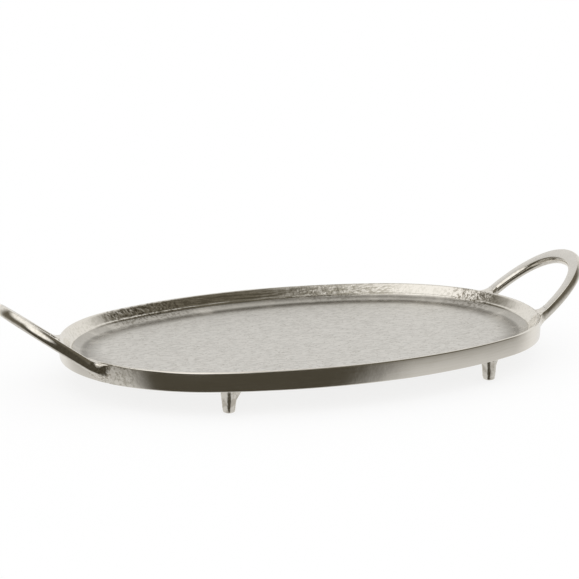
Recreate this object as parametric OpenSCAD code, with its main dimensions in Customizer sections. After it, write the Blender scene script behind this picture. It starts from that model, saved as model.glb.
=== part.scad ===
// Oval serving tray of cast aluminium: a shallow cast dish, two cast loop handles and four cast
// feet, held together by four handle welds and four foot welds that are dressed smooth.
// Millimetres, +Z up, +X towards the right-hand handle, +Y towards the rear.
// The origin is on the table, under the middle of the dish.

/* [Dish] */
// Length of the dish over its outer band, without the handles
dish_length = 503; // [480:1:530]
// Width of the dish over its outer band
dish_width = 340; // [326:1:352]
// Height of the outer band
band_height = 19; // [18:0.5:24]
// Radius of the rounded lip along the top of the band
lip_radius = 1.5; // [1:0.1:2]
// Radius of the rounded lower edge of the band
lower_edge_radius = 1.2; // [0.5:0.1:2]
// Depth of the serving floor below the top of the rim
floor_depth = 15; // [13.5:0.5:16]

/* [Sloping flange] */
// Distance from the outer band to the ridge at the foot of the sloping flange
ridge_inset = 11.5; // [9:0.5:14]
// Depth of that ridge below the top of the rim
ridge_depth = 9.4; // [8:0.2:10.4]
// Width of the short steep step below the ridge
step_width = 0.8; // [0.4:0.1:1.5]
// Height of the short steep step below the ridge
step_height = 1.6; // [0.8:0.1:2.2]
// Distance from the outer band to where the hollow cove runs out into the floor
cove_inset = 28; // [24:0.5:34]

/* [Handles] */
// Angle of each handle above the table
handle_tilt = 35.7; // [28:0.1:42]
// Distance from the middle of the tray to the widest point of a handle
handle_centre_x = 239.2; // [237:0.1:242]
// Height of the handle's upper face at that widest point
handle_centre_z = 38.4; // [37.5:0.1:39]
// Length of a handle from its widest point to its outer tip
handle_reach = 91.2; // [89:0.2:96]
// Half of the width over both legs of a handle
handle_half_width = 60; // [58:0.1:61]
// Thickness of the handle, square to its upper face
handle_thickness = 10; // [8:0.2:10.6]
// Width of the handle's band at its outer tip
grip_width = 15.6; // [14:0.1:17]
// Width of each leg of the handle
leg_width = 11.6; // [11:0.1:13]
// Bevel along the upper edges of the handle
upper_bevel = 1; // [0.4:0.1:1.6]
// Bevel along the lower outer edge of the handle
lower_bevel = 3; // [1:0.2:4]

/* [Feet] */
// Distance from the middle of the tray to each foot along the tray
foot_x = 139; // [125:1:145]
// Distance from the middle of the tray to each foot across the tray
foot_y = 129.5; // [122:0.5:131]
// Height of the feet, from the table to the underside of the dish
foot_height = 23; // [18:0.5:30]
// Width of a foot where it meets the dish
foot_top_width = 14.8; // [14:0.2:18]
// Width of a foot on the table
foot_tip_width = 9.4; // [8:0.2:11]
// Diameter of the turned outline that rounds the four corners of a foot, at its top
foot_round_top = 17.4; // [17:0.2:20]
// Diameter of that turned outline on the table
foot_round_tip = 11.4; // [11:0.2:13]

/* [Welds] */
// Radius of the hollow fillets at the root of each handle leg
root_fillet = 7; // [5:0.5:8]
// Gap filled with weld metal between the castings
weld_gap = 1; // [0.6:0.1:1.5]
// Radius of the hollow fillet round the top of each foot
foot_fillet = 3.2; // [2:0.2:4]

/* [Hidden] */
// Smoothness of the drawn curves; the curves themselves are true arcs
$fn = 120;
// Small overrun of a cut past the face it opens
over = 1;
half_length = dish_length / 2;
half_width = dish_width / 2;
rim_z = foot_height + band_height;
floor_z = band_height - floor_depth;
// Each oval is four true arcs. The arc centres and the middle of the oval make right-angled
// triangles with these side lengths, so that the arcs meet exactly.
dish_triangle = [5, 12, 13];
grip_triangle = [8, 15, 17];
gap_triangle = [5, 12, 13];
function unit(long, wide, tri) = (long - wide) / (tri[0] + tri[1] - tri[2]);
function end_offset(long, wide, tri) = tri[0] * unit(long, wide, tri);
function side_offset(long, wide, tri) = tri[1] * unit(long, wide, tri);
function tip_arc(long, wide, tri) = long - end_offset(long, wide, tri);
function side_arc(long, wide, tri) = wide + side_offset(long, wide, tri);
// Dish section, measured inward from the band and up from its lower edge
ridge = [ridge_inset, band_height - ridge_depth];
step = [ridge[0] + step_width, ridge[1] - step_height];
lip = [lip_radius, band_height - lip_radius];
cove_run = cove_inset - step[0];
cove_rise = step[1] - floor_z;
cove_radius = (pow(cove_run, 2) + pow(cove_rise, 2)) / (2 * cove_rise);
// The flange is tangent to the rounded lip
lip_reach = norm(ridge - lip);
lip_angle = atan2(ridge[1] - lip[1], ridge[0] - lip[0]) + acos(lip_radius / lip_reach);
lip_tangent = lip + lip_radius * [cos(lip_angle), sin(lip_angle)];
// End arcs of the dish
end_centre = end_offset(half_length, half_width, dish_triangle);
end_radius = half_length - end_centre;
// Handle outline
gap_reach = handle_reach - grip_width;
gap_half_width = handle_half_width - leg_width;
gap_flank = side_arc(gap_reach, gap_half_width, gap_triangle);
// Root fillets: each one touches the end arc of the band and one side of a leg
root_reach = end_radius + root_fillet;
function root_x(y) = end_centre + sqrt(pow(root_reach, 2) - pow(y, 2));
along_leg = (root_x(gap_half_width - root_fillet) - handle_centre_x) / cos(handle_tilt);
leg_inside = sqrt(pow(gap_flank, 2) - pow(along_leg, 2)) - gap_flank + gap_half_width;
inner_y = leg_inside - root_fillet;
outer_y = handle_half_width + root_fillet;
// Lean of the four flat sides of a foot
foot_lean = atan((foot_top_width - foot_tip_width) / (2 * foot_height));

// Passes the radius of the wanted arc to the shape it turns
module with_radius(radius) {
    $arc = radius;
    children();
}

// Upright prism on a polygon, tall enough for every part of the tray
module tall_prism(points) {
    tall = 4 * handle_reach;
    translate([0, 0, -tall / 2]) linear_extrude(tall) polygon(points);
}

// Oval solid: its child is turned about the centre of each arc and kept in that arc's sector
module four_arcs(long, wide, tri) {
    along = end_offset(long, wide, tri);
    across = side_offset(long, wide, tri);
    for (side = [-1, 1]) {
        intersection() {
            translate([side * along, 0, 0]) with_radius(tip_arc(long, wide, tri)) children();
            tall_prism([[side * along, 0], [2 * side * along, across],
                [2 * side * long, across], [2 * side * long, -across],
                [2 * side * along, -across]]);
        }
        intersection() {
            translate([0, -side * across, 0]) with_radius(side_arc(long, wide, tri)) children();
            tall_prism([[-along, 0], [along, 0], [2 * along, side * across],
                [-2 * along, side * across]]);
        }
    }
}

// Disc with a shaped edge: each level is [growth of the radius, height]
module turned_disc(levels) {
    last = len(levels) - 1;
    edge = [for (level = levels) [$arc + level[0], level[1]]];
    rotate_extrude() polygon(concat([[0, levels[0][1]]], edge, [[0, levels[last][1]]]));
}

// Section of the rim: band, rounded lip, sloping flange, step and hollow cove
module rim_section() {
    difference() {
        union() {
            polygon([[lower_edge_radius, 0], [cove_inset, 0], [cove_inset, floor_z], step,
                ridge, lip_tangent, lip, [0, lip[1]], [0, lower_edge_radius],
                [lower_edge_radius, lower_edge_radius]]);
            translate(lip) circle(lip_radius);
            translate([lower_edge_radius, lower_edge_radius]) circle(lower_edge_radius);
        }
        intersection() {
            translate([cove_inset, floor_z + cove_radius]) circle(cove_radius);
            translate([step[0], floor_z]) square([cove_run + over, band_height]);
        }
    }
}

// Everything inside the outer face of the band, grown by a gap
module band_prism(gap) {
    translate([0, 0, -handle_reach])
        four_arcs(half_length, half_width, dish_triangle)
            cylinder(h = rim_z + 2 * handle_reach, r = $arc + gap);
}

// Dish: the rim turned along four arcs round a flat floor, cast in one piece
module tray_body() {
    color("silver")
    translate([0, 0, foot_height]) {
        four_arcs(half_length, half_width, dish_triangle)
            rotate_extrude() translate([$arc, 0]) mirror([1, 0]) rim_section();
        four_arcs(half_length, half_width, dish_triangle)
            cylinder(h = floor_z, r = $arc - cove_inset);
    }
}

// Moves a shape from the handle's own plane to one end of the tray
module at_end(side) {
    mirror([side < 0 ? 1 : 0, 0, 0])
        translate([handle_centre_x, 0, handle_centre_z])
            rotate([0, -handle_tilt, 0]) children();
}

// Whole oval loop in the handle's own plane, with its upper face at height 0
module handle_loop() {
    difference() {
        four_arcs(handle_reach, handle_half_width, grip_triangle)
            turned_disc([[-lower_bevel, -handle_thickness], [0, lower_bevel - handle_thickness],
                [0, -upper_bevel], [-upper_bevel, 0]]);
        four_arcs(gap_reach, gap_half_width, gap_triangle)
            turned_disc([[0, -handle_thickness - over], [0, -upper_bevel], [upper_bevel, 0],
                [upper_bevel, over]]);
    }
}

// Handle: the part of the loop outside the dish, coped to the band with a gap for the weld
module handle(side) {
    color("gainsboro")
    difference() {
        at_end(side) handle_loop();
        band_prism(weld_gap);
    }
}

// Plan of one root weld, between the band and both sides of the rear leg of the right handle
module root_plan() {
    near = [root_x(inner_y), inner_y];
    far = [root_x(outer_y), outer_y];
    foot_in = [end_centre, 0] + (near - [end_centre, 0]) * end_radius / root_reach;
    foot_out = [end_centre, 0] + (far - [end_centre, 0]) * end_radius / root_reach;
    behind = [2 * root_fillet, 0];
    difference() {
        polygon([foot_in - behind, foot_in, near + [0, root_fillet], far - [0, root_fillet],
            foot_out, foot_out - behind]);
        translate(near) circle(root_fillet);
        translate(far) circle(root_fillet);
    }
}

// Weld at one handle leg: it fills the gap to the band and has a hollow fillet on each side
module handle_weld(side, depth_side) {
    slab = 2 * handle_reach;
    color("darkgray")
    difference() {
        intersection() {
            mirror([side < 0 ? 1 : 0, 0, 0]) mirror([0, depth_side < 0 ? 1 : 0, 0])
                linear_extrude(rim_z + handle_reach) root_plan();
            at_end(side) translate([-slab / 2, -slab / 2, -handle_thickness])
                cube([slab, slab, handle_thickness]);
        }
        band_prism(0);
        handle(side);
    }
}

// Foot: square peg with flat leaning sides, its corners rounded by a turned outline
module foot(x, y) {
    top = foot_height - weld_gap;
    color("silver")
    translate([x, y, 0])
        difference() {
            cylinder(h = top, d1 = foot_round_tip, d2 = foot_round_top);
            for (turn = [0 : 90 : 270])
                rotate([0, 0, turn]) translate([foot_tip_width / 2, 0, 0])
                    rotate([0, foot_lean, 0])
                        translate([0, -foot_top_width, -foot_height])
                            cube([foot_top_width, 2 * foot_top_width, 3 * foot_height]);
        }
}

// Weld on top of one foot: it fills the gap to the dish and has a hollow fillet all round
module foot_weld(x, y) {
    collar = foot_round_top / 2;
    depth = foot_fillet + weld_gap;
    color("darkgray")
    difference() {
        translate([x, y, foot_height - depth])
            rotate_extrude() difference() {
                square([collar + foot_fillet, depth]);
                translate([collar + foot_fillet, 0]) circle(foot_fillet);
            }
        foot(x, y);
    }
}

tray_body();
handle(-1);  // handle_left
handle(1);  // handle_right
foot(-foot_x, -foot_y);  // foot_front_left
foot(foot_x, -foot_y);  // foot_front_right
foot(-foot_x, foot_y);  // foot_rear_left
foot(foot_x, foot_y);  // foot_rear_right
handle_weld(-1, -1);  // handle_weld_left_front
handle_weld(-1, 1);  // handle_weld_left_rear
handle_weld(1, -1);  // handle_weld_right_front
handle_weld(1, 1);  // handle_weld_right_rear
foot_weld(-foot_x, -foot_y);  // foot_weld_front_left
foot_weld(foot_x, -foot_y);  // foot_weld_front_right
foot_weld(-foot_x, foot_y);  // foot_weld_rear_left
foot_weld(foot_x, foot_y);  // foot_weld_rear_right
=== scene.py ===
import math

import bpy
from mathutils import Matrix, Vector, noise


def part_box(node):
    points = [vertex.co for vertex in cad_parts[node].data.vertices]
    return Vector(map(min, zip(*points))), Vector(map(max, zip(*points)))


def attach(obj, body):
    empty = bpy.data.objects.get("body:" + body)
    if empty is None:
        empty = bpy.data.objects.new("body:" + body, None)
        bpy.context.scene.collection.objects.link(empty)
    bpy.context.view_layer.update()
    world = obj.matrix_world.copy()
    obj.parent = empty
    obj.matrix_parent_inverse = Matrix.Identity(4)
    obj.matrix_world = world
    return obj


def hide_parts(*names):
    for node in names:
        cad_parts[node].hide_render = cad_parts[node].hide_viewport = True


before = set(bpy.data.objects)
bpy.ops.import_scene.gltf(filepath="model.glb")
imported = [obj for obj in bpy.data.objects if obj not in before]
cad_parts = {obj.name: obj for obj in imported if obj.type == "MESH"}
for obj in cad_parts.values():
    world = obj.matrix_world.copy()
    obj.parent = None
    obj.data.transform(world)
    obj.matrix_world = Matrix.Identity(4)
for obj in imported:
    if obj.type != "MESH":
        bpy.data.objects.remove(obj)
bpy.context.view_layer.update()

# Oval cast serving tray with a nickel-toned finish. Shapes are worked out in millimetres, in the
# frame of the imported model, and written into the meshes in metres.

M = 0.001
MM = 1000.0

body_lo, body_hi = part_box("tray_body")
HALF_LENGTH = body_hi.x * MM
HALF_WIDTH = body_hi.y * MM
BAND_Z = body_lo.z * MM
RIM_Z = body_hi.z * MM
BAND_HEIGHT = RIM_Z - BAND_Z

# Four-arc oval: the arc centres make 5, 12, 13 triangles with the middle of the tray
UNIT = (HALF_LENGTH - HALF_WIDTH) / 4
END_X = 5 * UNIT
SIDE_Y = 12 * UNIT
END_RADIUS = HALF_LENGTH - END_X
SIDE_RADIUS = HALF_WIDTH + SIDE_Y
END_ANGLE = math.atan2(12, 5)

# Handle, in its own tilted plane
TILT = math.radians(35.7)
HANDLE_X = 239.2
HANDLE_Z = 38.4
REACH = 91.2
HALF_SPREAD = 60.0
GRIP = 15.6
LEG = 11.6
THICK = 10.0


# ---------------------------------------------------------------- mesh helpers

def new_piece(name, points, faces, materials, marks=None):
    """Mesh object from points in millimetres, with named numbers for its points."""
    mesh = bpy.data.meshes.new(name)
    mesh.from_pydata([(p[0] * M, p[1] * M, p[2] * M) for p in points], [], faces)
    for material in materials:
        mesh.materials.append(material)
    mesh.polygons.foreach_set("use_smooth", [True] * len(mesh.polygons))
    for mark, values in (marks or {}).items():
        layer = mesh.attributes.new(mark, "FLOAT", "POINT")
        layer.data.foreach_set("value", values)
    mesh.validate()
    mesh.update()
    piece = bpy.data.objects.new(name, mesh)
    bpy.context.scene.collection.objects.link(piece)
    return piece


def hand_over(piece, node):
    """The piece stands for a CAD node and rides on the one body."""
    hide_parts(node)
    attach(piece, "root")


def ripple(p, period, seed):
    """Smooth noise of about -1 to 1 with features of the given size in millimetres."""
    q = Vector((p[0] / period + seed, p[1] / period - seed, p[2] / period + 2 * seed))
    return noise.noise(q)


def arc_points(cx, cy, r, start, end, count):
    """Points on an arc, angles in degrees."""
    out = []
    for i in range(count + 1):
        a = math.radians(start + (end - start) * i / count)
        out.append((cx + r * math.cos(a), cy + r * math.sin(a)))
    return out


def bezier(p0, p1, p2, p3, count):
    out = []
    for i in range(count + 1):
        t = i / count
        s = 1 - t
        out.append(tuple(s ** 3 * a + 3 * s * s * t * b + 3 * s * t * t * c + t ** 3 * d
                         for a, b, c, d in zip(p0, p1, p2, p3)))
    return out


# ---------------------------------------------------------------- dish

LOWER_EDGE = 1.1     # radius of the band's lower edge
BULGE = 0.48         # how far the band stands out at half its height
LIP = 1.5            # radius of the rolled lip
KNEE = (5.4, 16.7)   # where the lip has turned into the slope: inset, height over the lower edge
RIDGE = (10.65, 10.60)        # foot of the slope
COVE_START = (12.95, 8.4)
COVE_END = 28.0      # inset at which the hollow cove reaches the floor
FLOOR_Z = 4.0
FADE_START = 20.0    # inset from which the cove's finish turns into the floor's
RIM_STEP = 2.3       # spacing of the points round the rim

# Where the casting skin was left rough: direction round the rim in degrees, half width, and how
# rough the band and the flange are there
ROUGH_SKIN = ((-149, 8, 1.0, 0.1), (-28, 5, 0.2, 0.4), (25, 11, 0.3, 1.0),
              (108, 9, 0.1, 1.0), (76, 5, 0.0, 0.5), (-100, 12, 0.1, 0.7))

# Where the flange keeps long brush marks: direction and half width
BRUSHED_FLANGE = ((82, 22), (-84, 22))


def near(angle, middle, half):
    """1 at a direction round the rim, given in degrees, falling to 0 on both sides of it."""
    off = (math.degrees(angle) - middle + 180) % 360 - 180
    return math.exp(-(off / half) ** 4)


def rough_skin(angle, zone):
    """How rough the skin is, 0 to 1, at a direction round the rim."""
    total = sum((on_band if zone < 1.5 else on_flange) * near(angle, middle, half)
                for middle, half, on_band, on_flange in ROUGH_SKIN)
    return min(1.0, total)


def brushed(angle, zone):
    """How strongly the flange shows brush marks, at a direction round the rim."""
    if zone > 2.75:
        return 0.0
    return min(1.0, sum(near(angle, middle, half) for middle, half in BRUSHED_FLANGE))


def band_inset(z):
    """How far the slightly barrelled band stands in from its fullest line."""
    middle = BAND_HEIGHT / 2
    return BULGE * ((z - middle) / (middle - LOWER_EDGE)) ** 2


def rim_profile():
    """(inset from the band, height above its lower edge, zone) from the underside to the floor.
    Zones: 0 underside, 0.5 lower edge, 1 band, 1.2 to 1.4 lip, 2 sloping flange, 3 cove, 4 floor;
    what lies between two of them blends their finishes."""
    rows = [(d, 0.0, 0.0) for d in (COVE_END, FADE_START, 12.0, 7.0, 4.0)]
    edge = BULGE + LOWER_EDGE
    for d, z in arc_points(edge, LOWER_EDGE, LOWER_EDGE, 270, 180, 6):
        rows.append((d, z, 0.5))
    low, high = LOWER_EDGE, BAND_HEIGHT - LIP
    steps = 18
    for i in range(1, steps):
        z = low + (high - low) * i / steps
        rows.append((band_inset(z), z, 1.0))
    for i, (d, z) in enumerate(arc_points(BULGE + LIP, high, LIP, 180, 90, 8)):
        rows.append((d, z, 1.2 + 0.02 * i))
    crest = (BULGE + LIP, BAND_HEIGHT)
    shoulder = bezier(crest, (crest[0] + 1.5, crest[1]), (KNEE[0] - 1.3, KNEE[1] + 1.5), KNEE, 8)
    for d, z in shoulder[1:]:
        rows.append((d, z, 1.7))
    steps = 8
    for i in range(1, steps + 1):
        t = i / steps
        rows.append((KNEE[0] + (RIDGE[0] - KNEE[0]) * t, KNEE[1] + (RIDGE[1] - KNEE[1]) * t, 2.0))
    rows += [(11.0, 10.35, 2.1), (11.45, 10.13, 2.2), (11.85, 9.88, 2.3), (12.2, 9.55, 2.5),
             (12.48, 9.12, 2.7), (12.7, 8.72, 3.0)]
    run, rise = COVE_END - COVE_START[0], COVE_START[1] - FLOOR_Z
    radius = (run * run + rise * rise) / (2 * rise)
    top = 270 - math.degrees(math.asin(run / radius))
    for d, z in arc_points(COVE_END, FLOOR_Z + radius, radius, top, 270, 12):
        fade = max(0.0, (d - FADE_START) / (COVE_END - FADE_START))
        rows.append((d, z, 3.0 + 0.45 * fade))
    return rows


def oval_stations(step):
    """(centre x, centre y, radius, angle) round the four arcs."""
    arcs = [((END_X, 0.0), END_RADIUS, -END_ANGLE, END_ANGLE),
            ((0.0, -SIDE_Y), SIDE_RADIUS, END_ANGLE, math.pi - END_ANGLE),
            ((-END_X, 0.0), END_RADIUS, math.pi - END_ANGLE, math.pi + END_ANGLE),
            ((0.0, SIDE_Y), SIDE_RADIUS, math.pi + END_ANGLE, 2 * math.pi - END_ANGLE)]
    out = []
    for (cx, cy), radius, first, last in arcs:
        count = max(8, round(radius * (last - first) / step))
        for i in range(count):
            out.append((cx, cy, radius, first + (last - first) * i / count))
    return out


def cast_wave(p, zone, skin=0.0):
    """Unevenness of the hand-finished casting, in millimetres."""
    if zone < 0.4:
        return 0.10 * ripple(p, 16, 3.1)
    if zone < 1.5:
        return (0.10 * ripple(p, 34, 1.7) + 0.045 * ripple(p, 9, 5.3)
                + skin * (0.22 * ripple(p, 11, 9.4) + 0.10 * ripple(p, 5, 2.6)))
    if zone < 2.9:
        return (0.13 * ripple(p, 22, 2.3) + 0.09 * ripple(p, 7, 6.1)
                + skin * 0.12 * ripple(p, 5, 8.8))
    fade = max(0.0, min(1.0, 4.0 - zone))
    return (0.05 + 0.10 * fade) * ripple(p, 60, 4.4) + (0.02 + 0.09 * fade) * ripple(p, 12, 7.7)


def build_dish(materials):
    rows = rim_profile()
    stations = oval_stations(RIM_STEP)
    around = len(stations)
    points, zones, skins, brushes, faces = [], [], [], [], []
    for k, (d, z, zone) in enumerate(rows):
        before, after = rows[max(k - 1, 0)], rows[min(k + 1, len(rows) - 1)]
        td, tz = after[0] - before[0], after[1] - before[1]
        size = math.hypot(td, tz) or 1.0
        nd, nz = -tz / size, td / size
        for cx, cy, radius, angle in stations:
            c, s = math.cos(angle), math.sin(angle)
            p = (cx + (radius - d) * c, cy + (radius - d) * s, BAND_Z + z)
            skin = rough_skin(angle, zone)
            wave = cast_wave(p, zone, skin)
            dd, zz = d + nd * wave, z + nz * wave
            points.append((cx + (radius - dd) * c, cy + (radius - dd) * s, BAND_Z + zz))
            zones.append(zone)
            skins.append(skin)
            brushes.append(brushed(angle, zone))
    for k in range(len(rows) - 1):
        for i in range(around):
            j = (i + 1) % around
            faces.append((k * around + i, k * around + j,
                          (k + 1) * around + j, (k + 1) * around + i))

    def fill(first_ring, base_z, rings, zone, up):
        """Rings that shrink to the middle of the dish."""
        last = first_ring
        outline = [points[first_ring + i] for i in range(around)]
        for ring in range(1, rings):
            scale = 1 - ring / rings
            start = len(points)
            for x, y, _ in outline:
                p = (x * scale, y * scale, base_z)
                here = min(zone, 3.45 + 0.15 * ring) if up else zone
                points.append((p[0], p[1], base_z + cast_wave(p, here)))
                zones.append(here)
                skins.append(0.0)
                brushes.append(0.0)
            for i in range(around):
                j = (i + 1) % around
                quad = (last + i, last + j, start + j, start + i)
                faces.append(quad if up else quad[::-1])
            last = start
        middle = len(points)
        points.append((0.0, 0.0, base_z))
        zones.append(zone)
        skins.append(0.0)
        brushes.append(0.0)
        for i in range(around):
            j = (i + 1) % around
            tri = (last + i, last + j, middle)
            faces.append(tri if up else tri[::-1])

    fill((len(rows) - 1) * around, BAND_Z + FLOOR_Z, 36, 4.0, True)
    fill(0, BAND_Z, 12, 0.0, False)
    return new_piece("dish_casting", points, faces, materials,
                     {"zone": zones, "skin": skins, "brush": brushes})


# ---------------------------------------------------------------- handles

OUTER_POWER = 2.165  # fullness of the loop's outer and inner outline
INNER_POWER = 2.263
LOOP_END = 94.6      # degrees from the tip of the loop to the ends of its legs
LOOP_STATIONS = 150
CROWN = 0.2          # how much the upper face is domed


def loop_point(long, wide, power, t):
    """Point of a full-bodied oval; angles past a quarter turn give the straight ends of legs."""
    c, s = math.cos(t), math.sin(t)
    return (long * math.copysign(abs(c) ** (2 / power), c),
            wide * math.copysign(abs(s) ** (2 / power), s))


def rolled_edge(arcs):
    """Points down a side built of arcs (radius, from angle, to angle): (outward, height), from
    the upper face (0, 0); 90 degrees faces up and 0 faces sideways."""
    x, z = 0.0, 0.0
    out = [(x, z)]
    for radius, start, end, count in arcs:
        for i in range(1, count + 1):
            a0 = math.radians(start + (end - start) * (i - 1) / count)
            a1 = math.radians(start + (end - start) * i / count)
            x += radius * (math.cos(a1) - math.cos(a0))
            z += radius * (math.sin(a1) - math.sin(a0))
            out.append((x, z))
    return out


def handle_section(width):
    """Outline of the band of the handle: (distance from the inner edge, height over the upper
    face, 1 on the upper face and 0 elsewhere), going round once."""
    outer = rolled_edge(((1.2, 90, 25, 6), (9.5, 25, -20, 9), (3.2, -20, -90, 7)))
    inner = rolled_edge(((0.9, 90, 50, 3), (5.6, 50, 4, 8), (4.7, 4, -90, 9)))
    outer_face = width - max(x for x, z in outer)
    inner_face = max(x for x, z in inner) - 0.9
    rows = []
    for i in range(9):
        f = i / 8
        rows.append((inner_face + (outer_face - inner_face) * f,
                     -CROWN * (2 * f - 1) ** 2, 1.0))
    for x, z in outer[1:]:
        rows.append((outer_face + x, -CROWN + z * (THICK - CROWN) / -outer[-1][1], 0.0))
    low_out, low_in = outer_face + outer[-1][0], inner_face - inner[-1][0]
    for i in range(1, 5):
        rows.append((low_out + (low_in - low_out) * i / 5, -THICK, 0.0))
    for x, z in inner[:0:-1]:
        rows.append((inner_face - x, -CROWN + z * (THICK - CROWN) / -inner[-1][1], 0.0))
    return rows


def to_tray(side, s, y, w):
    """From the handle's plane to the frame of the tray."""
    x = HANDLE_X + s * math.cos(TILT) - w * math.sin(TILT)
    z = HANDLE_Z + s * math.sin(TILT) + w * math.cos(TILT)
    return (side * x, y, z)


def build_handle(side, name, materials):
    reach = math.radians(LOOP_END)
    stations = LOOP_STATIONS
    points, faces, zones = [], [], []
    count = len(handle_section(LEG))
    for k in range(stations + 1):
        t = -reach + 2 * reach * k / stations
        outer = Vector(loop_point(REACH, HALF_SPREAD, OUTER_POWER, t))
        inner = Vector(loop_point(REACH - GRIP, HALF_SPREAD - LEG, INNER_POWER, t))
        across = outer - inner
        width = across.length
        across.normalize()
        for x, w, top in handle_section(width):
            s, y = inner + across * x
            p = to_tray(side, s, y, w)
            wave = 0.10 * ripple(p, 24, 3.7) + 0.05 * ripple(p, 8, 8.2)
            q = inner + across * (x + wave * (1 if x > width / 2 else -1))
            points.append(to_tray(side, q[0], q[1], w + 0.6 * wave))
            zones.append(top)
    for k in range(stations):
        for i in range(count):
            j = (i + 1) % count
            quad = (k * count + i, k * count + j, (k + 1) * count + j, (k + 1) * count + i)
            faces.append(quad if side > 0 else quad[::-1])
    first = tuple(range(count))
    last = tuple(stations * count + i for i in range(count))
    faces.append(first[::-1] if side > 0 else first)
    faces.append(last if side > 0 else last[::-1])
    return new_piece(name, points, faces, materials, {"zone": zones, "skin": [0.0] * len(zones)})


# ---------------------------------------------------------------- welds at the handle roots

OUTER_FLARE = 15.0   # how far the weld spreads along the band, outside and inside the leg
INNER_FLARE = 11.0
UPPER_FLARE = 6.5    # how far it spreads up and down
LOWER_FLARE = 1.6
WELD_STEPS = 16
WELD_HOLLOW = 0.56   # how closely the fillet follows the corner


def on_band(angle, z, sink=0.0):
    """Point of the outer face at an end of the dish, measured from the end arc's centre."""
    radius = END_RADIUS - band_inset(z) - sink
    return Vector((END_X + radius * math.cos(angle), radius * math.sin(angle), BAND_Z + z))


def rim_path(angle, up, sink=0.0):
    """Point of the band at a height over its lower edge, or on round the lip to the crest."""
    high = BAND_HEIGHT - LIP
    if up <= high:
        return on_band(angle, up, sink)
    turn = min(math.pi / 2, (up - high) / LIP)
    radius = END_RADIUS - BULGE - LIP + (LIP - sink) * math.cos(turn)
    z = BAND_Z + high + (LIP - sink) * math.sin(turn)
    return Vector((END_X + radius * math.cos(angle), radius * math.sin(angle), z))


def build_handle_weld(side, depth_side, rough, name, materials):
    """Skin of the dressed weld: each line runs down the leg and turns out onto the band."""
    section = handle_section(LEG)
    steps = WELD_STEPS
    rings = [[] for _ in range(steps + 1)]
    zones = [[] for _ in range(steps + 1)]
    count = len(section)
    for j, (x, w, top) in enumerate(section):
        ahead, behind = section[(j + 1) % count], section[j - 1]
        tx, tw = ahead[0] - behind[0], ahead[1] - behind[1]
        size = math.hypot(tx, tw) or 1.0
        nx, nw = -tw / size, tx / size
        share = x / LEG

        def leg(s):
            lift = 0.04
            t_in = math.acos(max(-1, min(1, s / (REACH - GRIP))))
            t_out = math.acos(max(-1, min(1, s / REACH)))
            y_in = loop_point(REACH - GRIP, HALF_SPREAD - LEG, INNER_POWER, t_in)[1]
            y_out = loop_point(REACH, HALF_SPREAD, OUTER_POWER, t_out)[1]
            y = y_in + (y_out - y_in) * share + nx * lift
            return Vector(to_tray(1, s, y, w + nw * lift))

        s = 0.0
        for _ in range(12):
            p = leg(s)
            gap = math.hypot(p.x - END_X, p.y) - END_RADIUS
            s -= gap / math.cos(TILT)
        base = leg(s)
        angle = math.atan2(base.y, base.x - END_X)
        normal = Vector((math.cos(angle), math.sin(angle), 0))
        out = Vector((0, nx, 0)) + Vector((-math.sin(TILT), 0, math.cos(TILT))) * nw
        out -= normal * out.dot(normal)
        out.normalize()
        turn = Vector((-math.sin(angle), math.cos(angle), 0))
        sideways = out.dot(turn)
        flat = OUTER_FLARE if sideways > 0 else INNER_FLARE
        steep = UPPER_FLARE if out.z > 0 else LOWER_FLARE
        shift = math.copysign(flat * abs(sideways) ** 0.7, sideways)
        rise = steep * out.z
        start = leg(s + math.hypot(shift, rise * (1.3 if rise > 0 else 1.0)))
        foot = max(1.6, base.z - BAND_Z + rise)
        end = rim_path(angle + shift / END_RADIUS, foot, 0.05)
        corner = base.copy()
        corner.z = max(BAND_Z + 0.8, min(RIM_Z - 0.9, corner.z))
        line = bezier(start, start.lerp(corner, WELD_HOLLOW), end.lerp(corner, WELD_HOLLOW), end,
                      steps)
        for k, p in enumerate(line):
            q = (side * p[0], depth_side * p[1], p[2])
            swell = math.sin(math.pi * k / steps)
            wave = (0.18 * ripple(q, 8, 4.9) + 0.10 * ripple(q, 3.5, 1.9)) * swell
            rings[k].append((q[0] + side * 0.5 * wave, q[1] + depth_side * 0.7 * wave,
                             q[2] + max(0.0, out.z) * wave))
            zones[k].append(top * max(0.0, 1 - 1.4 * k / steps))
    points = [p for ring in rings for p in ring]
    buried = []
    for x, y, z in rings[-1]:
        lip = max(0.0, min(1.0, (z - RIM_Z + LIP) / LIP))
        buried.append((x - side * 1.3, y - depth_side * 0.5, z - 1.4 * lip))
    points += buried
    faces = []
    flip = side * depth_side < 0
    for k in range(steps + 1):
        for i in range(count):
            j = (i + 1) % count
            quad = (k * count + i, (k + 1) * count + i, (k + 1) * count + j, k * count + j)
            faces.append(quad[::-1] if flip else quad)
    first = tuple(range(count))
    last = tuple((steps + 1) * count + i for i in range(count))
    faces.append(first if not flip else first[::-1])
    faces.append(last[::-1] if not flip else last)
    zone_list = [v for ring in zones for v in ring] + [0.0] * count
    skins = [rough * min(1.0, 1.3 * k / steps) for k in range(steps + 1) for _ in range(count)]
    return new_piece(name, points, faces, materials,
                     {"zone": zone_list, "skin": skins + [rough] * count})


# ---------------------------------------------------------------- feet

FOOT_TIP = 4.8       # half width at the tip
FOOT_SPREAD = 2.5    # how much wider each half is at the dish
FOOT_POWER = 3.4     # squareness of the section
WORN = 1.6           # height of the worn round tip
LUG_ANGLE = 5.6      # direction and width of the lump of weld metal, in radians
LUG_WIDTH = 0.45


def foot_half(z, height):
    """Half width of a foot, with its worn round tip."""
    t = max(0.0, min(1.0, z / height))
    half = FOOT_TIP + FOOT_SPREAD * t
    if z < WORN:
        half *= 0.80 + 0.20 * math.sqrt(1 - (1 - z / WORN) ** 2)
    return half


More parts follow.
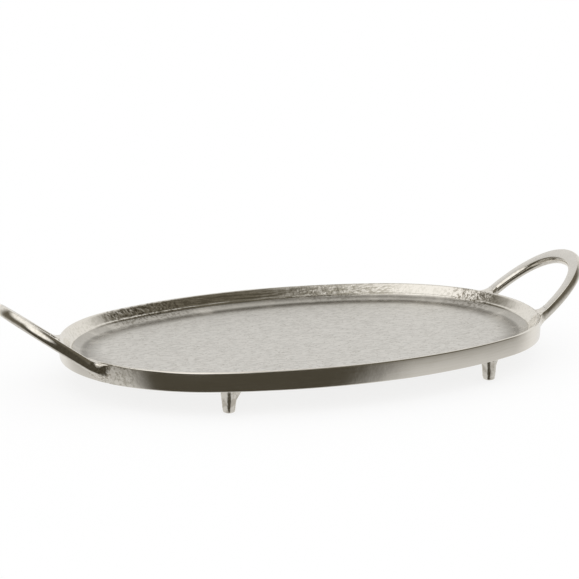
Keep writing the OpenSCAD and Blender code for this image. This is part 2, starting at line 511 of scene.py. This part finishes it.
def squared(c, s):
    """Divides a half width into the radius of the rounded square section in a direction."""
    return (abs(c) ** FOOT_POWER + abs(s) ** FOOT_POWER) ** (1 / FOOT_POWER)


def build_foot(x, y, name, twist, seed, materials):
    """Rough tapered peg: a rounded square section, filed in uneven flats."""
    height = BAND_Z
    levels = [0.0, 0.25, 0.6, 1.0, WORN]
    levels += [WORN + (height - WORN) * i / 22 for i in range(1, 23)]
    count = 56
    points, faces = [], []
    for z in levels:
        half = foot_half(z, height)
        lean_x = 0.25 * ripple((z, 0, 0), 14, seed)
        lean_y = 0.25 * ripple((0, z, 0), 14, seed + 2)
        for i in range(count):
            a = 2 * math.pi * i / count
            c, s = math.cos(a), math.sin(a)
            r = half / squared(c, s)
            p = (r * c, r * s, z)
            rough = 0.42 * ripple(p, 7.0, seed) + 0.10 * ripple(p, 2.4, seed + 5)
            r += rough * min(1.0, 0.3 + z / 3)
            c, s = math.cos(a + twist), math.sin(a + twist)
            points.append((x + lean_x + r * c, y + lean_y + r * s, z))
    for k in range(len(levels) - 1):
        for i in range(count):
            j = (i + 1) % count
            faces.append((k * count + i, k * count + j, (k + 1) * count + j, (k + 1) * count + i))
    faces.append(tuple(range(count))[::-1])
    faces.append(tuple((len(levels) - 1) * count + i for i in range(count)))
    return new_piece(name, points, faces, materials)


def build_foot_weld(x, y, name, twist, lug_size, seed, materials):
    """Uneven collar of weld metal that flares from the foot onto the underside of the dish."""
    count = 72
    steps = 12
    points, faces = [], []
    for k in range(steps + 1):
        t = k / steps
        for i in range(count):
            a = 2 * math.pi * i / count
            c, s = math.cos(a), math.sin(a)
            lump = 0.5 + 0.5 * noise.noise(Vector((1.3 * c + seed, 1.3 * s, seed)))
            lug = lug_size * math.exp(-((a - LUG_ANGLE) / LUG_WIDTH) ** 2)
            flare = 1.2 + 2.0 * lump + 3.4 * lug
            drop = 2.6 + 2.2 * lump + 8.0 * lug
            z = BAND_Z - drop * (1 - t)
            base = foot_half(z, BAND_Z) / squared(c, s)
            curve = 1 - math.sqrt(max(0.0, 1 - t * t))
            r = base + 0.1 + flare * (curve + (t - curve) * min(1.0, lug))
            p = (r * c, r * s, z)
            r += 0.26 * ripple(p, 3.2, seed + 3) * (0.4 + 0.6 * t)
            c, s = math.cos(a + twist), math.sin(a + twist)
            points.append((x + r * c, y + r * s, z + 0.04 * t))
    for k in range(steps):
        for i in range(count):
            j = (i + 1) % count
            faces.append((k * count + i, k * count + j, (k + 1) * count + j, (k + 1) * count + i))
    faces.append(tuple(range(count))[::-1])
    faces.append(tuple(steps * count + i for i in range(count)))
    return new_piece(name, points, faces, materials)


# ---------------------------------------------------------------- material helpers

class Nodes:
    """Short ways to add shader nodes and join them."""

    def __init__(self, tree):
        self.tree = tree

    def add(self, kind, **settings):
        node = self.tree.nodes.new(kind)
        for key, value in settings.items():
            setattr(node, key, value)
        return node

    def put(self, socket, value):
        if isinstance(value, bpy.types.NodeSocket):
            self.tree.links.new(value, socket)
        elif value is not None:
            socket.default_value = value

    def math(self, operation, a, b=None, clamp=False):
        node = self.add("ShaderNodeMath", operation=operation, use_clamp=clamp)
        self.put(node.inputs[0], a)
        self.put(node.inputs[1], b)
        return node.outputs[0]

    def point_number(self, name):
        return self.add("ShaderNodeAttribute", attribute_name=name).outputs["Fac"]

    def remap(self, value, a, b, c=0.0, d=1.0):
        node = self.add("ShaderNodeMapRange", interpolation_type="SMOOTHSTEP")
        self.put(node.inputs["Value"], value)
        for key, number in zip(("From Min", "From Max", "To Min", "To Max"), (a, b, c, d)):
            self.put(node.inputs[key], number)
        return node.outputs["Result"]

    def mix(self, factor, a, b, blend="MIX"):
        node = self.add("ShaderNodeMix", data_type="RGBA", blend_type=blend)
        self.put(node.inputs["Factor"], factor)
        self.put(node.inputs[6], a)
        self.put(node.inputs[7], b)
        return node.outputs[2]

    def blend(self, factor, a, b):
        node = self.add("ShaderNodeMix", data_type="FLOAT")
        self.put(node.inputs[0], factor)
        self.put(node.inputs[2], a)
        self.put(node.inputs[3], b)
        return node.outputs[0]

    def noise(self, place, scale, detail=2.0, rough=0.5):
        node = self.add("ShaderNodeTexNoise")
        self.put(node.inputs["Vector"], place)
        node.inputs["Scale"].default_value = scale
        node.inputs["Detail"].default_value = detail
        node.inputs["Roughness"].default_value = rough
        return node.outputs["Fac"]

    def stretch(self, place, scale):
        node = self.add("ShaderNodeMapping")
        self.put(node.inputs["Vector"], place)
        node.inputs["Scale"].default_value = scale
        return node.outputs["Vector"]

    def bump(self, height, distance, strength=1.0):
        node = self.add("ShaderNodeBump")
        self.put(node.inputs["Height"], height)
        node.inputs["Distance"].default_value = distance
        node.inputs["Strength"].default_value = strength
        return node.outputs["Normal"]


def start_metal(name):
    material = bpy.data.materials.new(name)
    material.use_nodes = True
    tree = material.node_tree
    nodes = Nodes(tree)
    shader = tree.nodes["Principled BSDF"]
    shader.inputs["Metallic"].default_value = 1.0
    place = nodes.add("ShaderNodeTexCoord").outputs["Object"]
    return material, nodes, shader, place


NICKEL_LIGHT = (0.90, 0.865, 0.80, 1.0)
CAST_RELIEF = 0.00016     # depth of the casting's grain, in metres
POLISHED_RELIEF = 0.00010


def dish_material():
    """Cast dish: brushed band and lip, mottled pitted flange, satin cove darkened with painted
    shade, matt floor.
    """
    material, n, shader, place = start_metal("nickel_dish")
    zone = n.point_number("zone")
    skin = n.point_number("skin")
    brushwork = n.point_number("brush")
    cove = n.remap(zone, 2.75, 3.05)
    floor = n.remap(zone, 3.25, 3.92)
    flange = n.math("MULTIPLY", n.remap(zone, 1.45, 1.85), n.remap(zone, 3.2, 2.7))

    patches = n.noise(place, 38.0, 3.0, 0.6)
    grains = n.noise(place, 330.0, 2.0, 0.45)
    lumps = n.noise(place, 170.0, 2.0, 0.5)
    fine = n.noise(place, 900.0, 1.0, 0.4)
    mottle = n.remap(n.noise(place, 24.0, 1.0, 0.5), 0.46, 0.62)
    brush = n.noise(n.stretch(place, (24.0, 24.0, 800.0)), 1.0, 2.0, 0.5)
    scuffs = n.noise(n.stretch(place, (150.0, 420.0, 420.0)), 1.0, 2.0, 0.55)
    pits = n.remap(n.noise(place, 420.0, 1.0, 0.5), 0.40, 0.28)
    ragged = n.math("MULTIPLY", skin, n.remap(lumps, 0.34, 0.56, 0.35, 1.0))

    band_height = n.math("ADD", n.math("MULTIPLY", brush, 0.045), n.math("MULTIPLY", grains, 0.09))
    band_height = n.blend(ragged, band_height, n.math("MULTIPLY", grains, 1.7))
    rough_cast = n.math("SUBTRACT", n.math("ADD", n.math("MULTIPLY", grains, 0.9),
                                           n.math("MULTIPLY", fine, 0.12)),
                        n.math("MULTIPLY", pits, 0.30))
    flange_height = n.math("MULTIPLY", rough_cast, n.blend(mottle, 0.14, 0.60))
    flange_height = n.blend(ragged, flange_height, n.math("MULTIPLY", grains, 2.6))
    floor_height = n.math("SUBTRACT", n.math("ADD", n.math("MULTIPLY", grains, 0.9),
                                             n.math("MULTIPLY", fine, 0.25)),
                          n.math("MULTIPLY", pits, 0.9))
    height = n.blend(flange, n.blend(floor, band_height, floor_height), flange_height)
    n.put(shader.inputs["Normal"], n.bump(height, CAST_RELIEF))

    band_rough = n.blend(brush, 0.08, 0.20)
    flange_rough = n.blend(grains, 0.06, 0.20)
    cove_rough = n.blend(patches, 0.18, 0.34)
    floor_rough = n.blend(patches, 0.38, 0.46)
    rough = n.blend(flange, n.blend(cove, band_rough, cove_rough), flange_rough)
    n.put(shader.inputs["Roughness"], n.blend(floor, rough, floor_rough))

    worn = n.mix(n.remap(brush, 0.28, 0.60), (0.865, 0.825, 0.755, 1.0), NICKEL_LIGHT)
    worn = n.mix(n.math("MULTIPLY", ragged, n.remap(grains, 0.52, 0.40)), worn,
                 (0.60, 0.57, 0.50, 1.0))
    speckled = n.mix(n.remap(grains, 0.34, 0.56), (0.80, 0.77, 0.70, 1.0), NICKEL_LIGHT)
    speckled = n.mix(n.math("MULTIPLY", ragged, n.remap(grains, 0.52, 0.42)), speckled,
                     (0.30, 0.27, 0.22, 1.0))
    marks = n.noise(n.stretch(place, (22.0, 520.0, 700.0)), 1.0, 2.0, 0.6)
    marks = n.math("MULTIPLY", brushwork, n.remap(marks, 0.58, 0.42))
    speckled = n.mix(marks, speckled, (0.46, 0.43, 0.36, 1.0))
    # painted shade: the cove's colour is darkened in uneven patches to stand for the shade and
    # dark reflections in the hollow
    cove_painted_shade = n.mix(n.remap(patches, 0.48, 0.70), (0.25, 0.235, 0.207, 1.0), (0.51, 0.485, 0.44, 1.0))
    plain = n.mix(n.remap(scuffs, 0.34, 0.60), (0.70, 0.685, 0.65, 1.0), (0.835, 0.82, 0.787, 1.0))
    plain = n.mix(n.math("MULTIPLY", pits, 0.55), plain, (0.44, 0.41, 0.36, 1.0))
    colour = n.mix(flange, n.mix(cove, worn, cove_painted_shade), speckled)
    n.put(shader.inputs["Base Color"], n.mix(floor, colour, plain))
    return material


def handle_material():
    """Handles and their dressed welds: satin upper face, brighter polished sides."""
    material, n, shader, place = start_metal("nickel_handle")
    top = n.remap(n.point_number("zone"), 0.3, 0.9)
    patches = n.noise(place, 60.0, 3.0, 0.6)
    grains = n.noise(place, 420.0, 2.0, 0.5)
    fine = n.noise(place, 1500.0, 1.0, 0.5)
    skin = n.point_number("skin")
    height = n.math("ADD", n.math("MULTIPLY", grains, 0.28), n.math("MULTIPLY", fine, 0.05))
    height = n.blend(skin, height, n.math("MULTIPLY", grains, 2.2))
    n.put(shader.inputs["Normal"], n.bump(height, POLISHED_RELIEF))
    side_rough = n.blend(patches, 0.06, 0.16)
    top_rough = n.blend(patches, 0.26, 0.36)
    n.put(shader.inputs["Roughness"], n.blend(top, side_rough, top_rough))
    bright = n.mix(n.remap(grains, 0.3, 0.6), (0.76, 0.72, 0.64, 1.0), NICKEL_LIGHT)
    bright = n.mix(n.math("MULTIPLY", skin, n.remap(grains, 0.54, 0.42)), bright,
                   (0.50, 0.46, 0.39, 1.0))
    satin = n.mix(n.remap(patches, 0.3, 0.7), (0.82, 0.795, 0.75, 1.0), (0.89, 0.865, 0.82, 1.0))
    n.put(shader.inputs["Base Color"], n.mix(top, bright, satin))
    return material


def foot_material():
    """Feet and their welds: rough casting, only lightly polished."""
    material, n, shader, place = start_metal("nickel_foot")
    patches = n.noise(place, 160.0, 2.0, 0.5)
    grains = n.noise(place, 620.0, 2.0, 0.5)
    height = n.math("ADD", n.math("MULTIPLY", patches, 1.6), n.math("MULTIPLY", grains, 0.45))
    n.put(shader.inputs["Normal"], n.bump(height, CAST_RELIEF))
    n.put(shader.inputs["Roughness"], n.blend(grains, 0.14, 0.32))
    n.put(shader.inputs["Base Color"],
          n.mix(n.remap(patches, 0.36, 0.60), (0.66, 0.62, 0.55, 1.0), NICKEL_LIGHT))
    return material


# ---------------------------------------------------------------- studio

CAMERA_PLACE = (-0.85619, -1.79965, 0.52147)
CAMERA_AIM = Vector((0.412564, 0.884569, -0.217552))
CAMERA_LENS = 126.53
FLOOR_GAP = 0.0002   # keeps the floor just clear of the feet


def tinted(level):
    """Colour of a light: warm where it is dark, nearly neutral where it is bright."""
    warm = max(0.0, min(1.0, 1 - level / 0.6))
    return (level * (1.01 + 0.12 * warm), level, level * (0.98 - 0.26 * warm), 1.0)


# Plain soft studio that the metal mirrors: a white ground, a dim room, and broad round lights
# or cards. Each has the azimuth and elevation of its middle, how far it reaches in full and
# until it has faded out, all in degrees, and its brightness.
GROUND = 0.60
ROOM = 0.12
SOFT_LIGHTS = (
    (60, 5, 40, 75, 0.80),      # white sweep behind and to the right
    (-170, 70, 20, 45, 1.00),   # ceiling light, high on the left
    (-115, -10, 40, 65, 0.06),  # dark card on the camera's side
    (-125, 30, 15, 30, 1.10),   # side light on the left
)


def studio_world():
    """Soft studio that only the metal mirrors; the floor and the view see plain white."""
    world = bpy.data.worlds.new("studio")
    bpy.context.scene.world = world
    world.use_nodes = True
    world.cycles.sampling_method = "NONE"
    tree = world.node_tree
    n = Nodes(tree)
    background = tree.nodes["Background"]
    view = n.add("ShaderNodeTexCoord").outputs["Generated"]
    split = n.add("ShaderNodeSeparateXYZ")
    n.put(split.inputs[0], view)
    colour = n.mix(n.remap(split.outputs["Z"], -0.45, 0.25), tinted(GROUND), tinted(ROOM))
    for azimuth, elevation, full, end, level in SOFT_LIGHTS:
        a, e = math.radians(azimuth), math.radians(elevation)
        middle = (math.cos(e) * math.cos(a), math.cos(e) * math.sin(a), math.sin(e))
        near_middle = n.add("ShaderNodeVectorMath", operation="DOT_PRODUCT")
        n.put(near_middle.inputs[0], view)
        n.put(near_middle.inputs[1], middle)
        angle = n.math("ARCCOSINE", near_middle.outputs["Value"])
        share = n.remap(angle, math.radians(end), math.radians(full))
        colour = n.mix(share, colour, tinted(level))
    glossy = n.add("ShaderNodeLightPath").outputs["Is Glossy Ray"]
    n.put(background.inputs["Color"], n.mix(glossy, (1.0, 1.0, 1.0, 1.0), colour))
    background.inputs["Strength"].default_value = 1.0


def studio_floor():
    """Plain pale floor, wide enough to fill the view."""
    radii = (0.5, 1.0, 2.0, 4.0, 8.0, 16.0)
    count = 48
    points, faces = [(0.0, 0.0, 0.0)], []
    for radius in radii:
        for i in range(count):
            a = 2 * math.pi * i / count
            points.append((radius * MM * math.cos(a), radius * MM * math.sin(a), 0.0))
    for i in range(count):
        faces.append((0, 1 + i, 1 + (i + 1) % count))
    for k in range(len(radii) - 1):
        for i in range(count):
            j = (i + 1) % count
            a, b = 1 + k * count, 1 + (k + 1) * count
            faces.append((a + i, b + i, b + j, a + j))
    material = bpy.data.materials.new("floor_white")
    material.use_nodes = True
    shader = material.node_tree.nodes["Principled BSDF"]
    shader.inputs["Base Color"].default_value = (0.22, 0.22, 0.22, 1.0)
    shader.inputs["Roughness"].default_value = 1.0
    shader.inputs["Specular IOR Level"].default_value = 0.0
    shader.inputs["Emission Color"].default_value = (1.0, 1.0, 1.0, 1.0)
    shader.inputs["Emission Strength"].default_value = 0.78
    floor = new_piece("studio_floor", points, faces, [material])
    floor.location.z = -FLOOR_GAP
    floor.visible_glossy = False


def studio_camera():
    """Camera at the photograph's viewing angle."""
    data = bpy.data.cameras.new("camera")
    data.sensor_width = 36.0
    data.lens = CAMERA_LENS
    data.clip_end = 60.0
    camera = bpy.data.objects.new("camera", data)
    bpy.context.scene.collection.objects.link(camera)
    camera.location = CAMERA_PLACE
    camera.rotation_euler = CAMERA_AIM.to_track_quat("-Z", "Y").to_euler()
    bpy.context.scene.camera = camera


# ---------------------------------------------------------------- scene

bpy.context.scene.view_settings.view_transform = "Standard"
bpy.context.scene.view_settings.look = "None"

nickel_dish = dish_material()
nickel_handle = handle_material()
nickel_foot = foot_material()

hand_over(build_dish([nickel_dish]), "tray_body")
for side, end in ((-1, "left"), (1, "right")):
    hand_over(build_handle(side, f"handle_loop_{end}", [nickel_handle]),
              f"handle_{end}")
    for depth_side, row in ((-1, "front"), (1, "rear")):
        # the front left corner is the roughest work
        rough = 1.0 if (row, end) == ("front", "left") else 0.3
        hand_over(build_handle_weld(side, depth_side, rough, f"root_weld_{end}_{row}",
                                    [nickel_handle]),
                  f"handle_weld_{end}_{row}")
        node = f"foot_{row}_{end}"
        low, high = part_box(node)
        foot_x = (low.x + high.x) / 2 * MM
        foot_y = (low.y + high.y) / 2 * MM
        seed = 11.0 + 3 * side + 1.7 * depth_side
        twist = math.radians(17 - 8 * side)
        hand_over(build_foot(foot_x, foot_y, f"peg_{row}_{end}", twist, seed, [nickel_foot]),
                  node)
        hand_over(build_foot_weld(foot_x, foot_y, f"peg_weld_{row}_{end}", twist, rough, seed,
                                  [nickel_foot]),
                  f"foot_weld_{row}_{end}")

studio_world()
studio_floor()
studio_camera()

bpy.context.view_layer.update()
